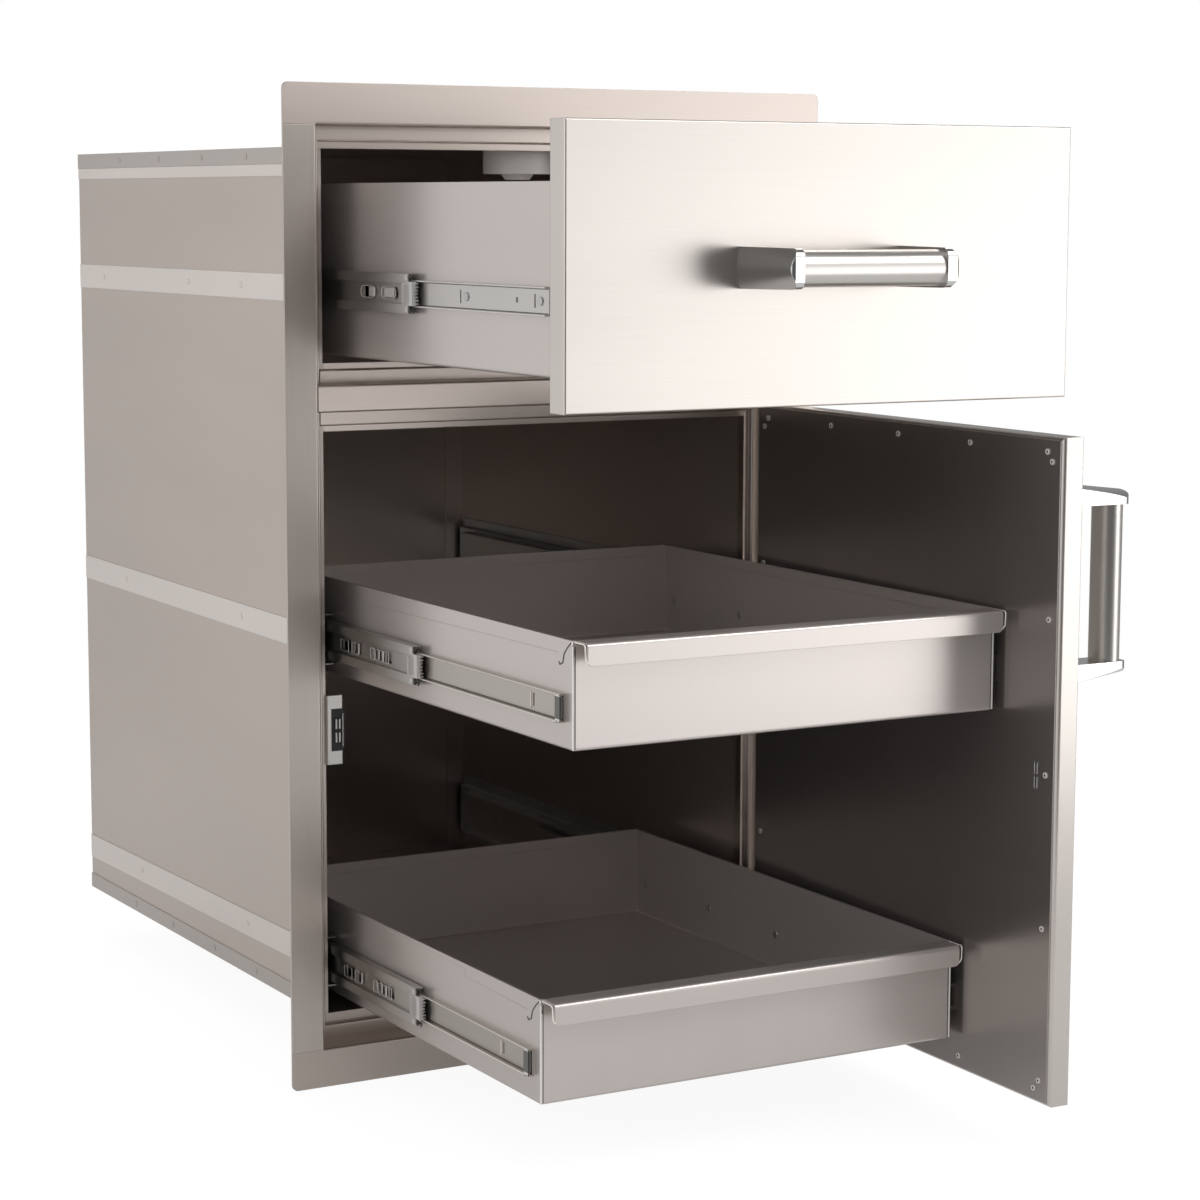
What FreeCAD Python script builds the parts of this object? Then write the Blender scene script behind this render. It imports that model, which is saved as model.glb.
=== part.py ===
import FreeCAD, Part
import math
import os

# Outdoor kitchen drawer unit: a face frame with a sheet case behind it, a drawer on top and two
# pull-out trays behind a door. X is to the right, Y to the back, Z up, in millimetres.
# The origin is the centre of the bottom rail's back face, which rests on the front of the island.

# Openings and face frame
opening_width = 443.2
drawer_opening_height = 204.6
door_opening_height = 519.6
stile_width = 28.4
top_rail_height = 32.7
mid_rail_height = 21.7
bottom_rail_height = 31.4
frame_sheet = 2.0
frame_corner_radius = 5.0
recess_depth = 31.0
step_depth = 5.5
stop_sheet = 1.0
side_stop = 15.6
side_step = 4.8
top_stop = 12.3
top_step = 5.5
bottom_stop = 11.0
bottom_step = 8.2
mid_stop_up = 10.6
mid_stop_down = 13.0
mid_step = 5.0
lip_depth = 12.0
opening_bend = 1.6
step_bend = 1.4

# Case
case_sheet = 1.0
case_behind_throat = 3.2
case_depth = 545.7
lap_height = 13.6
rear_flange = 20.0
strap_thickness = 0.8
strap_height = 22.0
top_strap_height = 9.8
strap_front_gap = 1.0
strap_rear_gap = 0.5
strap_lifts = (0.0, 1.2, 5.9)
strap_rises = (-1.1, 3.9, -5.8)
weld_dimple_radius = 2.6
weld_dimple_height = 0.5
top_lap_welds = (139.2, 237.2, 337.2, 435.2)
bottom_lap_welds = (138.2, 232.2, 332.2, 425.2)
top_strap_welds = (153.2, 270.2, 481.2)
middle_strap_welds = (161.2, 436.2)
lower_strap_welds = (156.2, 409.2)

# Drawer front, drawer box and trays
front_side_gap = 6.4
front_bottom_gap = 0.7
front_top_gap = 3.7
front_thickness = 20.5
front_sheet = 1.0
front_bend = 1.3
box_width = 369.4
box_length = 490.0
box_sheet = 1.0
box_corner_bend = 1.6
box_bottom_bend = 2.5
hem_height = 9.0
top_box_height = 138.4
top_box_lift = 20.9
tray_height = 79.4
middle_tray_lift = 299.5
lower_tray_lift = 28.3
tray_lip_reach = 16.0
tray_lip_drop = 16.6
tray_lip_inset = 3.2
tray_lip_radius = 4.0
tray_lip_bend = 3.0
tray_door_gap = 5.5
corner_slot_height = 10.0
corner_slot_width = 2.0

# Slides
slide_length = 500.0
slide_thickness = 12.7
slide_sheet = 1.2
cabinet_member_height = 42.0
middle_member_height = 30.6
drawer_member_height = 20.6
member_gap = 0.4
member_back_gap = 1.6
drawer_member_reach = 4.6
slide_reach = 2.0
top_slide_setback = 54.7
tray_slide_setback = 11.0
top_slide_above_box = 54.1
tray_slide_above_box = 30.0
hat_flat = 48.0
hat_foot = 9.0
hat_sheet = 1.2
hat_front_gap = 1.5
hat_rear_gap = 6.0
ball_clearance = 0.3
balls_in_cage = 5
ball_pitch = 26.0
cage_sheet = 0.8
cage_end = 12.0
cage_hole_clearance = 0.05
screw_head_radius = 3.6
screw_head_height = 1.0
screw_shank_radius = 2.0
screw_grip = 5.0
screw_inset = 60.0
rivet_head_radius = 3.2
rivet_head_height = 0.9
rivet_radius = 2.0
member_hole_radius = 2.0
member_front_hole = 12.0
member_middle_hole = 126.6
member_rear_hole = 40.0
member_spare_hole = 48.0
member_slots = (20.8, 136.8)
member_slot_width = 2.2
member_slot_height = 9.6
window_height = 9.0
top_windows = ((21.4, 25.0), (59.7, 24.0))
tray_windows = ((43.0, 9.0), (54.5, 12.0), (69.0, 7.0), (98.5, 12.5), (117.5, 14.5))
top_window_rounding = 4.4
tray_window_rounding = 0.6
tray_slot = 44.7
tray_first_rivet = 240.0
tray_second_rivet = 350.0
buffer_reach = 7.0
buffer_tongue = 10.0

# Door
door_top_gap = 5.4
door_bottom_gap = 2.6
door_thickness = 19.5
door_back_bend = 3.0
door_sheet = 1.0
door_return = 18.0
liner_inset = 2.8
row_rivets = 5
row_rivet_inset = 11.5
row_rivet_from_side = 18.2
column_rivets = 5
column_rivet_inset = 12.2
column_rivet_from_end = 18.7
liner_rivet_radius = 2.4
liner_rivet_height = 0.8
liner_rivet_bore = 0.9
pin_from_side = 3.4
pin_from_front = 5.2
pin_radius = 2.0
pin_clearance = 0.05
pin_block = 9.0
pin_block_height = 12.0
bush_wall = 1.0
bush_flange_radius = 4.6
bush_float = 0.3
strike_slot_width = 2.0
strike_slot_height = 9.0
strike_slots_across = 3.6
strike_slots_up = 11.8
strike_plate_width = 16.0
strike_plate_height = 34.0
strike_plate_thickness = 2.0

# Handles
handle_length = 155.4
handle_tube_half_height = 12.9
handle_tube_half_depth = 11.2
handle_tube_wall = 1.5
handle_axis_out = 48.1
handle_post_cover = 1.3
handle_post_width = 17.4
handle_post_taper = 7.0
handle_post_front_round = 3.2
handle_post_round_lead = 0.4
handle_post_height = 29.5
handle_post_tip_height = 28.4
handle_foot_dome = 2.4
handle_tip_dome = 8.0
handle_post_round = 6.8
handle_socket_depth = 6.0
handle_screw_pitch = 12.0
handle_screw_radius = 2.0
handle_screw_head_radius = 3.6
handle_screw_head_height = 1.6
handle_screw_depth = 14.0
door_handle_inset = 32.0
door_handle_below_top = 114.4
drawer_handle_below_middle = 1.3

# Catch and buffer
bracket_height = 57.4
bracket_reach = 13.2
bracket_sheet = 1.2
bracket_proud = 3.5
catch_above_opening = 257.2
catch_height = 34.8
catch_from_throat = 8.8
catch_width = 10.4
catch_depth = 13.0
catch_proud = 0.5
catch_yoke_height = 28.0
catch_pole_clearance = 0.1
catch_pole_proud = 0.8
buffer_radius = 29.0
buffer_height = 19.5
buffer_nub_radius = 14.0
buffer_nub_tip = 10.5
buffer_nub_height = 4.8
buffer_from_front = 80.0

# How far the pieces stand open in the stored pose
top_drawer_drawn = 390.0
middle_tray_drawn = 389.0
lower_tray_drawn = 342.0
top_member_drawn = 179.5
middle_member_drawn = 161.4
lower_member_drawn = 163.0
door_open_angle = 88.92

# How far a cutting shape reaches past what it cuts
past = 1.0

# Places worked out from the sizes above
front_y = -frame_sheet
stop_y = front_y + recess_depth
step_y = stop_y + step_depth
case_front_y = step_y + stop_sheet
case_back_y = case_front_y + case_depth
lip_back_y = case_front_y + lip_depth
opening_side = opening_width / 2
frame_side = opening_side + stile_width
frame_bottom = -(bottom_rail_height - frame_sheet) / 2
door_opening_bottom = frame_bottom + bottom_rail_height
door_opening_top = door_opening_bottom + door_opening_height
drawer_opening_bottom = door_opening_top + mid_rail_height
drawer_opening_top = drawer_opening_bottom + drawer_opening_height
frame_top = drawer_opening_top + top_rail_height
step_side = opening_side - side_stop
step_bottom = door_opening_bottom + bottom_stop
step_top = drawer_opening_top - top_stop
throat_side = step_side - side_step
throat_bottom = step_bottom + bottom_step
throat_top = step_top - top_step
case_inner_side = throat_side + case_behind_throat
case_inner_bottom = throat_bottom - stop_sheet
case_inner_top = throat_top + stop_sheet
case_outer_side = case_inner_side + case_sheet
box_side = box_width / 2
slide_back_x = box_side + slide_thickness
drawer_front_bottom = drawer_opening_bottom + front_bottom_gap
drawer_front_top = drawer_opening_top - front_top_gap
drawer_front_side = opening_side - front_side_gap
top_box_bottom = drawer_opening_bottom + top_box_lift
middle_tray_bottom = door_opening_bottom + middle_tray_lift
lower_tray_bottom = door_opening_bottom + lower_tray_lift
top_box_front_y = front_y + front_thickness
tray_front_y = front_y + door_thickness + tray_door_gap + tray_lip_reach
top_slide_y = top_box_front_y + top_slide_setback
tray_slide_y = tray_front_y + tray_slide_setback
top_slide_z = top_box_bottom + top_slide_above_box
middle_slide_z = middle_tray_bottom + tray_slide_above_box
lower_slide_z = lower_tray_bottom + tray_slide_above_box
door_side = drawer_front_side
door_bottom = door_opening_bottom + door_bottom_gap
door_top = door_opening_top - door_top_gap
pin_x = door_side - pin_from_side
pin_y = front_y + pin_from_front
bracket_y = step_y - bracket_proud
catch_x = -throat_side + catch_from_throat
catch_z = door_opening_bottom + catch_above_opening
door_handle_z = door_top - door_handle_below_top
door_handle_x = -door_side + door_handle_inset
drawer_handle_z = (drawer_front_bottom + drawer_front_top) / 2 - drawer_handle_below_middle
handle_post_out = handle_axis_out + handle_tube_half_depth + handle_post_cover

screw_places = (screw_inset, slide_length / 2, slide_length - screw_inset)
top_rivets = (member_front_hole, member_middle_hole, slide_length - member_rear_hole)
tray_rivets = (tray_first_rivet, tray_second_rivet, slide_length - member_rear_hole)

slides = (
    ("top", top_slide_y, top_slide_z, top_drawer_drawn, top_member_drawn),
    ("middle", tray_slide_y, middle_slide_z, middle_tray_drawn, middle_member_drawn),
    ("lower", tray_slide_y, lower_slide_z, lower_tray_drawn, lower_member_drawn),
)


def vec(x, y, z):
    return FreeCAD.Vector(x, y, z)


def block(x0, x1, y0, y1, z0, z1):
    return Part.makeBox(x1 - x0, y1 - y0, z1 - z0, vec(x0, y0, z0))


def rod(radius, length, x, y, z, direction):
    return Part.makeCylinder(radius, length, vec(x, y, z), direction)


def joined(pieces):
    whole = pieces[0]
    if len(pieces) > 1:
        whole = pieces[0].multiFuse(pieces[1:])
    return whole.removeSplitter()


def other_side(shape):
    return shape.mirror(vec(0, 0, 0), vec(1, 0, 0))


def moved(shape, dx, dy, dz):
    copy = shape.copy()
    copy.translate(vec(dx, dy, dz))
    return copy


def rounded(shape, radius, chosen):
    """Fillets the straight edges whose direction and middle are chosen."""
    picked = []
    for edge in shape.Edges:
        if not isinstance(edge.Curve, Part.Line):
            continue
        along = edge.Vertexes[-1].Point - edge.Vertexes[0].Point
        along.normalize()
        if chosen(along, edge.BoundBox.Center):
            picked.append(edge)
    return shape.makeFillet(radius, picked)


def near(a, b):
    return abs(a - b) < 0.01


def edge_waste(start, end, into, radius):
    """What rounding removes from a straight edge whose material lies towards into."""
    far = end + into * radius
    low = vec(min(start.x, far.x), min(start.y, far.y), min(start.z, far.z))
    waste = Part.makeBox(abs(far.x - start.x), abs(far.y - start.y), abs(far.z - start.z), low)
    along = end - start
    return waste.cut(Part.makeCylinder(radius, along.Length, start + into * radius, along))


def group(solids):
    return Part.makeCompound(solids)


def save(name, shape):
    os.makedirs("parts", exist_ok=True)
    shape.exportStep("parts/" + name + ".step")


def frame_rail(opening, way, edge, step, throat):
    """Rail across the full width: face, return, stop with a step in it, and a lip behind."""
    def rail_block(side, y0, y1, a, b):
        return block(-side, side, y0, y1, min(a, b), max(a, b))

    face = rail_block(frame_side, front_y, 0, opening, edge)
    face = rounded(face, frame_corner_radius, lambda along, m: near(abs(along.y), 1) and near(m.z, edge))
    back = opening + way * frame_sheet
    rail = joined([
        face,
        rail_block(opening_side, 0, stop_y, opening, back),
        rail_block(opening_side, stop_y, stop_y + stop_sheet, step, back),
        rail_block(step_side, stop_y, step_y, step, step + way * stop_sheet),
        rail_block(step_side, step_y, case_front_y, throat, step + way * stop_sheet),
        rail_block(throat_side, case_front_y, lip_back_y, throat, throat + way * stop_sheet),
    ])
    into = vec(0, 1, way)
    rail = rail.cut(edge_waste(vec(-opening_side, front_y, opening), vec(opening_side, front_y, opening),
                               into, opening_bend))
    return rail.cut(edge_waste(vec(-step_side, stop_y, step), vec(step_side, stop_y, step), into, step_bend))


def frame_stile():
    """Left stile: face, return, stop with a step in it, and the lip that the case is welded to."""
    low = door_opening_bottom
    high = drawer_opening_top
    stile = joined([
        block(-frame_side, -opening_side, front_y, 0, low, high),
        block(-opening_side - frame_sheet, -opening_side, 0, stop_y, low, high),
        block(-opening_side - frame_sheet, -step_side, stop_y, stop_y + stop_sheet, step_bottom, step_top),
        block(-opening_side - frame_sheet, -opening_side, stop_y, stop_y + stop_sheet, low, high),
        block(-step_side - stop_sheet, -step_side, stop_y, step_y, step_bottom, step_top),
        block(-step_side - stop_sheet, -throat_side, step_y, case_front_y, throat_bottom, throat_top),
        block(-case_inner_side, -case_inner_side + stop_sheet, case_front_y, lip_back_y,
              throat_bottom, throat_top),
    ])
    into = vec(-1, 1, 0)
    stile = stile.cut(edge_waste(vec(-opening_side, front_y, low), vec(-opening_side, front_y, high),
                                 into, opening_bend))
    return stile.cut(edge_waste(vec(-step_side, stop_y, step_bottom), vec(-step_side, stop_y, step_top),
                                into, step_bend))


def frame_mid_rail():
    """Rail between the drawer and the door, with a stepped stop above and one below."""
    low = door_opening_top
    high = drawer_opening_bottom
    up = high + mid_stop_up
    down = low - mid_stop_down
    rail = joined([
        block(-opening_side, opening_side, front_y, 0, low, high),
        block(-opening_side, opening_side, 0, stop_y, high - frame_sheet, high),
        block(-opening_side, opening_side, 0, stop_y, low, low + frame_sheet),
        block(-step_side, step_side, stop_y, stop_y + stop_sheet, high - frame_sheet, up),
        block(-step_side, step_side, stop_y, stop_y + stop_sheet, down, low + frame_sheet),
        block(-step_side, step_side, stop_y, step_y, up - stop_sheet, up),
        block(-step_side, step_side, stop_y, step_y, down, down + stop_sheet),
        block(-throat_side, throat_side, step_y, case_front_y, up - stop_sheet, up + mid_step),
        block(-throat_side, throat_side, step_y, case_front_y, down - mid_step, down + stop_sheet),
    ])
    for z, y, side, way, radius in (
        (high, front_y, opening_side, -1, opening_bend),
        (low, front_y, opening_side, 1, opening_bend),
        (up, stop_y, step_side, -1, step_bend),
        (down, stop_y, step_side, 1, step_bend),
    ):
        rail = rail.cut(edge_waste(vec(-side, y, z), vec(side, y, z), vec(0, 1, way), radius))
    return rail.cut(bush_hole(low))


def bush_hole(z):
    """Hole for a hinge bush through the thickness of a rail's return."""
    radius = pin_radius + pin_clearance + bush_wall
    return rod(radius, frame_sheet + 2 * past, pin_x, pin_y, z - past, vec(0, 0, 1))


def hinge_bushes():
    """Flanged bushes in the frame that the door's pins turn in."""
    bore = pin_radius + pin_clearance
    bushes = []
    ends = ((door_opening_top, -1, door_top_gap), (door_opening_bottom, 1, door_bottom_gap))
    for rail_face, way, gap in ends:
        up = vec(0, 0, way)
        back = rail_face - way * frame_sheet
        thickness = gap - bush_float
        body = rod(bore + bush_wall, frame_sheet, pin_x, pin_y, back, up)
        flange = rod(bush_flange_radius, thickness, pin_x, pin_y, rail_face, up)
        hole = rod(bore, frame_sheet + thickness + 2 * past, pin_x, pin_y, back - way * past, up)
        bushes.append(joined([body, flange]).cut(hole))
    return group(bushes)


def dimples(x, way, z, places):
    """Round spot-weld marks that stand out of a sheet, placed from the front of the case."""
    marks = []
    for place in places:
        marks.append(rod(weld_dimple_radius, weld_dimple_height, x, case_front_y + place, z, vec(way, 0, 0)))
    return marks


def case_side():
    """Left panel of the case, with a flange turned in at the back."""
    inner_back = case_back_y - case_sheet
    return joined([
        block(-case_outer_side, -case_inner_side, case_front_y, inner_back,
              case_inner_bottom, case_inner_top),
        block(-case_outer_side, -case_inner_side + rear_flange, inner_back - case_sheet, inner_back,
              case_inner_bottom, case_inner_top),
    ])


def case_cover(flat_low, flat_high, lap_low, lap_high, welds):
    """Top or bottom sheet of the case, lapped over the outside of both panels."""
    lap_side = case_outer_side + case_sheet
    middle = (lap_low + lap_high) / 2
    pieces = [
        block(-lap_side, lap_side, case_front_y, case_back_y, flat_low, flat_high),
        block(-lap_side, -case_outer_side, case_front_y, case_back_y, lap_low, lap_high),
        block(case_outer_side, lap_side, case_front_y, case_back_y, lap_low, lap_high),
    ]
    pieces += dimples(-lap_side, -1, middle, welds)
    pieces += dimples(lap_side, 1, middle, welds)
    return joined(pieces)


def case_back():
    return block(-case_outer_side, case_outer_side, case_back_y - case_sheet, case_back_y,
                 case_inner_bottom, case_inner_top)


def outer_straps():
    """Thin straps spot-welded outside the case near the slides, and one under the cover's lap.

    The three near the slides are not quite level: each starts strap_lifts above its slide and
    rises by strap_rises towards the back.
    """
    x = case_outer_side
    low_y = case_front_y + strap_front_gap
    high_y = case_back_y - strap_rear_gap
    straps = []
    welds = (top_strap_welds, middle_strap_welds, lower_strap_welds)
    for (name, y, z, drawn, member), lift, rise, places in zip(slides, strap_lifts, strap_rises, welds):
        middle = z + lift
        half = strap_height / 2
        strap = block(-x - strap_thickness, -x, low_y, high_y, middle - half, middle + half)
        strap = joined([strap] + dimples(-x - strap_thickness, -1, middle, places))
        strap.rotate(vec(0, low_y, middle), vec(1, 0, 0), math.degrees(math.atan(rise / (high_y - low_y))))
        straps.append(strap)
    top = case_inner_top + case_sheet - lap_height
    straps.append(block(-x - strap_thickness, -x, low_y, high_y, top - top_strap_height, top))
    return group(straps + [other_side(s) for s in straps])


def slide_hats():
    """Hat-section rails on the inside of the case that carry the cabinet members."""
    y0 = lip_back_y + hat_front_gap
    y1 = case_back_y - case_sheet - case_sheet - hat_rear_gap
    web = slide_back_x
    wall = case_inner_side
    half = hat_flat / 2
    hats = []
    for name, slide_y, z, drawn, member in slides:
        hat = joined([
            block(-web - hat_sheet, -web, y0, y1, z - half, z + half),
            block(-wall, -web, y0, y1, z + half - hat_sheet, z + half),
            block(-wall, -web, y0, y1, z - half, z - half + hat_sheet),
            block(-wall, -wall + hat_sheet, y0, y1, z + half - hat_sheet, z + half + hat_foot),
            block(-wall, -wall + hat_sheet, y0, y1, z - half - hat_foot, z - half + hat_sheet),
        ])
        hats += [hat, other_side(hat)]
    return group(hats)


def cabinet_member(y, z):
    """Outer channel of a left slide, screwed to its hat rail."""
    half = cabinet_member_height / 2
    back = slide_back_x
    lip = box_side + slide_reach
    y1 = y + slide_length
    return joined([
        block(-back, -back + slide_sheet, y, y1, z - half, z + half),
        block(-back, -lip, y, y1, z + half - slide_sheet, z + half),
        block(-back, -lip, y, y1, z - half, z - half + slide_sheet),
    ])


def drawer_member_tip():
    """Distance from the centre line to the tips of a drawer member's flanges."""
    return box_side + drawer_member_reach


def intermediate_member(name, y, z):
    """Double channel of a left slide: its web stands back between two ball tracks."""
    half = middle_member_height / 2
    step = (drawer_member_height - 2 * slide_sheet) / 2
    web = drawer_member_tip() + member_gap
    band = slide_back_x - 2 * slide_sheet - member_back_gap
    lip = box_side + slide_reach
    y1 = y + slide_length
    pieces = [block(-web - slide_sheet, -web, y, y1, z - step, z + step)]
    for way in (-1, 1):
        tall = sorted((z + way * (step - slide_sheet), z + way * half))
        thin = sorted((z + way * (step - slide_sheet), z + way * step))
        edge = sorted((z + way * (half - slide_sheet), z + way * half))
        pieces.append(block(-band, -web, y, y1, thin[0], thin[1]))
        pieces.append(block(-band, -band + slide_sheet, y, y1, tall[0], tall[1]))
        pieces.append(block(-band, -lip, y, y1, edge[0], edge[1]))
    member = joined(pieces)
    windows = top_windows if name == "top" else tray_windows
    rounding = top_window_rounding if name == "top" else tray_window_rounding
    for start, length in windows:
        member = member.cut(window(y + start, z, web, length, rounding))
    return member


def window(y, z, web, length, rounding):
    """Window with rounded corners through an intermediate member's web."""
    half = window_height / 2
    hole = block(-web - slide_sheet - past, -web + past, y, y + length, z - half, z + half)
    return rounded(hole, rounding, lambda along, m: near(abs(along.x), 1))


def slide_rivets(name):
    return top_rivets if name == "top" else tray_rivets


def drawer_member(name, y, z):
    """Inner channel of a left slide, riveted to the side of the box."""
    half = drawer_member_height / 2
    tip = drawer_member_tip()
    side = box_side
    y1 = y + slide_length
    member = joined([
        block(-side - slide_sheet, -side, y, y1, z - half, z + half),
        block(-tip, -side, y, y1, z + half - slide_sheet, z + half),
        block(-tip, -side, y, y1, z - half, z - half + slide_sheet),
    ])
    holes = slide_rivets(name) + ((member_spare_hole,) if name == "top" else ())
    outside = -side - slide_sheet - past
    for place in holes:
        member = member.cut(rod(rivet_radius, slide_sheet + 2 * past, outside, y + place, z, vec(1, 0, 0)))
    for place in member_slots if name == "top" else (tray_slot,):
        low_y = y + place - member_slot_width / 2
        member = member.cut(block(outside, -side + past, low_y, low_y + member_slot_width,
                                  z - member_slot_height / 2, z + member_slot_height / 2))
    return member


def ball_rows(y, z):
    """Places of a left slide's four rows of balls: x, first y, height, ball radius."""
    outer_gap = (cabinet_member_height - middle_member_height) / 2 - slide_sheet
    inner_gap = (middle_member_height - drawer_member_height) / 2 - slide_sheet
    outer_z = middle_member_height / 2 + outer_gap / 2
    inner_z = drawer_member_height / 2 + inner_gap / 2
    x = -(box_side + slide_thickness / 2)
    rear_y = y + slide_length - cage_end - (balls_in_cage - 1) * ball_pitch
    rows = []
    for way in (-1, 1):
        rows.append((x, rear_y, z + way * outer_z, outer_gap / 2 - ball_clearance))
        rows.append((x + 2 * slide_sheet, y + cage_end, z + way * inner_z, inner_gap / 2 - ball_clearance))
    return rows


def slide_balls(y, z):
    balls = []
    for x, first, height, radius in ball_rows(y, z):
        for n in range(balls_in_cage):
            balls.append(Part.makeSphere(radius, vec(x, first + n * ball_pitch, height)))
    return balls


def ball_cages(y, z):
    """Strips that space the balls, and the plastic end buffer on the front of the member."""
    cages = []
    for x, first, height, radius in ball_rows(y, z):
        last = first + (balls_in_cage - 1) * ball_pitch
        half = radius + cage_sheet
        strip = block(x - half, x + half, first - cage_end / 2, last + cage_end / 2,
                      height - cage_sheet / 2, height + cage_sheet / 2)
        for n in range(balls_in_cage):
            hole = rod(radius + cage_hole_clearance, cage_sheet + 2 * past, x, first + n * ball_pitch,
                       height - cage_sheet / 2 - past, vec(0, 0, 1))
            strip = strip.cut(hole)
        cages.append(strip)
    web = drawer_member_tip() + member_gap + slide_sheet
    face = slide_back_x - 2 * slide_sheet - member_back_gap
    half = drawer_member_height / 2 - 2 * slide_sheet
    tongue = block(-face, -web, y, y + buffer_tongue, z - half, z + half)
    nose = block(-face, -web + slide_sheet, y - buffer_reach, y,
                 z - half - slide_sheet, z + half + slide_sheet)
    cages.append(joined([tongue, nose]))
    return cages


def cabinet_screws():
    """Screws through each cabinet member into its hat rail."""
    screws = []
    for name, y, z, drawn, member in slides:
        for place in screw_places:
            x = -slide_back_x + slide_sheet
            head = rod(screw_head_radius, screw_head_height, x, y + place, z, vec(1, 0, 0))
            shank = rod(screw_shank_radius, screw_grip, x, y + place, z, vec(-1, 0, 0))
            screw = joined([head, shank])
            screws += [screw, other_side(screw)]
    return group(screws)


def with_screw_holes(shape):
    """Cuts the holes for the screws of every slide, on both sides."""
    inside = -slide_back_x + slide_sheet + past
    for name, y, z, drawn, member in slides:
        for place in screw_places:
            hole = rod(screw_shank_radius, screw_grip + 2 * past, inside, y + place, z, vec(-1, 0, 0))
            shape = shape.cut(group([hole, other_side(hole)]))
    return shape


def box_rivets(name, y, z):
    """Rivets that hold a left drawer member to the box."""
    rivets = []
    for place in slide_rivets(name):
        x = -box_side - slide_sheet
        head = rod(rivet_head_radius, rivet_head_height, x, y + place, z, vec(-1, 0, 0))
        shank = rod(rivet_radius, slide_sheet + box_sheet, x, y + place, z, vec(1, 0, 0))
        tail_x = -box_side + box_sheet
        tail = rod(rivet_head_radius, rivet_head_height, tail_x, y + place, z, vec(1, 0, 0))
        rivets.append(joined([head, shank, tail]))
    return rivets


def bent_box(side, y0, y1, low, high, corner_bend, bottom_bend):
    """Block with its upright corners rounded, and the edges of its floor."""
    shape = block(-side, side, y0, y1, low, high)
    shape = rounded(shape, corner_bend, lambda along, m: near(abs(along.z), 1))
    return shape.makeFillet(bottom_bend, [e for e in shape.Edges if near(e.BoundBox.ZMax, low)])


def open_box(front_y0, bottom, height, slide_y, slide_z, rivets):
    """Folded sheet box with a hem inside its top edges and holes for its rivets."""
    side = box_side
    t = box_sheet
    back = front_y0 + box_length
    top = bottom + height
    box = bent_box(side, front_y0, back, bottom, top, box_corner_bend, box_bottom_bend)
    box = box.cut(bent_box(side - t, front_y0 + t, back - t, bottom + t, top + past,
                           box_corner_bend - t, box_bottom_bend - t))
    hem = block(-side + t, side - t, front_y0 + t, back - t, top - hem_height, top)
    hem = hem.cut(block(-side + 2 * t, side - 2 * t, front_y0 + 2 * t, back - 2 * t,
                        top - hem_height - past, top + past))
    box = joined([box, hem])
    for place in rivets:
        for way in (-1, 1):
            x = way * (side + past)
            box = box.cut(rod(rivet_radius, 2 * (t + past), x, slide_y + place, slide_z, vec(-way, 0, 0)))
    return box


def tray(bottom, slide_z):
    """Open tray with a pull lip rolled forward and down along its front edge."""
    box = open_box(tray_front_y, bottom, tray_height, tray_slide_y, slide_z, tray_rivets)
    t = box_sheet
    side = box_side - tray_lip_inset
    top = bottom + tray_height
    low = top - tray_lip_drop
    reach = tray_front_y - tray_lip_reach
    lip = block(-side, side, reach, tray_front_y + t, low, top)
    lip = rounded(lip, tray_lip_radius, lambda along, m: near(abs(along.y), 1) and near(m.z, low))
    lip = rounded(lip, tray_lip_bend,
                  lambda along, m: near(abs(along.x), 1) and near(m.z, top) and near(m.y, reach))
    inside = block(-side - past, side + past, reach + t, tray_front_y, low - past, top - t)
    inside = rounded(inside, tray_lip_bend - t,
                     lambda along, m: near(abs(along.x), 1) and near(m.z, top - t) and near(m.y, reach + t))
    whole = joined([box, lip.cut(inside)])
    notch = top - corner_slot_height
    for way in (-1, 1):
        x = way * (box_side - corner_slot_width / 2)
        whole = whole.cut(block(x - corner_slot_width / 2, x + corner_slot_width / 2,
                                tray_front_y - past, tray_front_y + t, notch, top + past))
    return whole


def rounded_slab(side, y0, y1, low, high, front_radius, back_radius):
    """Upright slab whose four front and four back edges are rounded."""
    shape = block(-side, side, y0, y1, low, high)
    shape = rounded(shape, front_radius, lambda along, m: near(m.y, y0))
    if back_radius:
        shape = rounded(shape, back_radius, lambda along, m: near(m.y, y1))
    return shape


def drawer_front_skin():
    """Front sheet with a return on each of its four edges."""
    t = front_sheet
    side = drawer_front_side
    back = front_y + front_thickness
    outer = rounded_slab(side, front_y, back, drawer_front_bottom, drawer_front_top, front_bend, 0)
    return outer.cut(rounded_slab(side - t, front_y + t, back + past, drawer_front_bottom + t,
                                  drawer_front_top - t, front_bend - t, 0))


def drawer_front_backing():
    """Sheet that closes the back of the drawer front inside its returns."""
    t = front_sheet
    back = front_y + front_thickness
    return block(-drawer_front_side + t, drawer_front_side - t, back - t, back,
                 drawer_front_bottom + t, drawer_front_top - t)


def door_skin():
    """Door pan with flanges turned in behind it, to which the liner is riveted."""
    t = door_sheet
    side = door_side
    back = front_y + door_thickness - t
    skin = rounded_slab(side, front_y, back, door_bottom, door_top, front_bend, door_back_bend)
    skin = skin.cut(rounded_slab(side - t, front_y + t, back - t, door_bottom + t, door_top - t,
                                 front_bend - t, door_back_bend - t))
    inset = t + door_return
    skin = skin.cut(block(-side + inset, side - inset, back - 2 * t, back + past,
                          door_bottom + inset, door_top - inset))
    skin = skin.cut(group(handle_screw_holes("door")))
    skin = skin.cut(group(liner_rivet_shanks(0)))
    for z, way in ((door_top, -1), (door_bottom, 1)):
        skin = skin.cut(rod(pin_radius, t + 2 * past, pin_x, pin_y, z - way * past, vec(0, 0, way)))
    return skin


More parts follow.
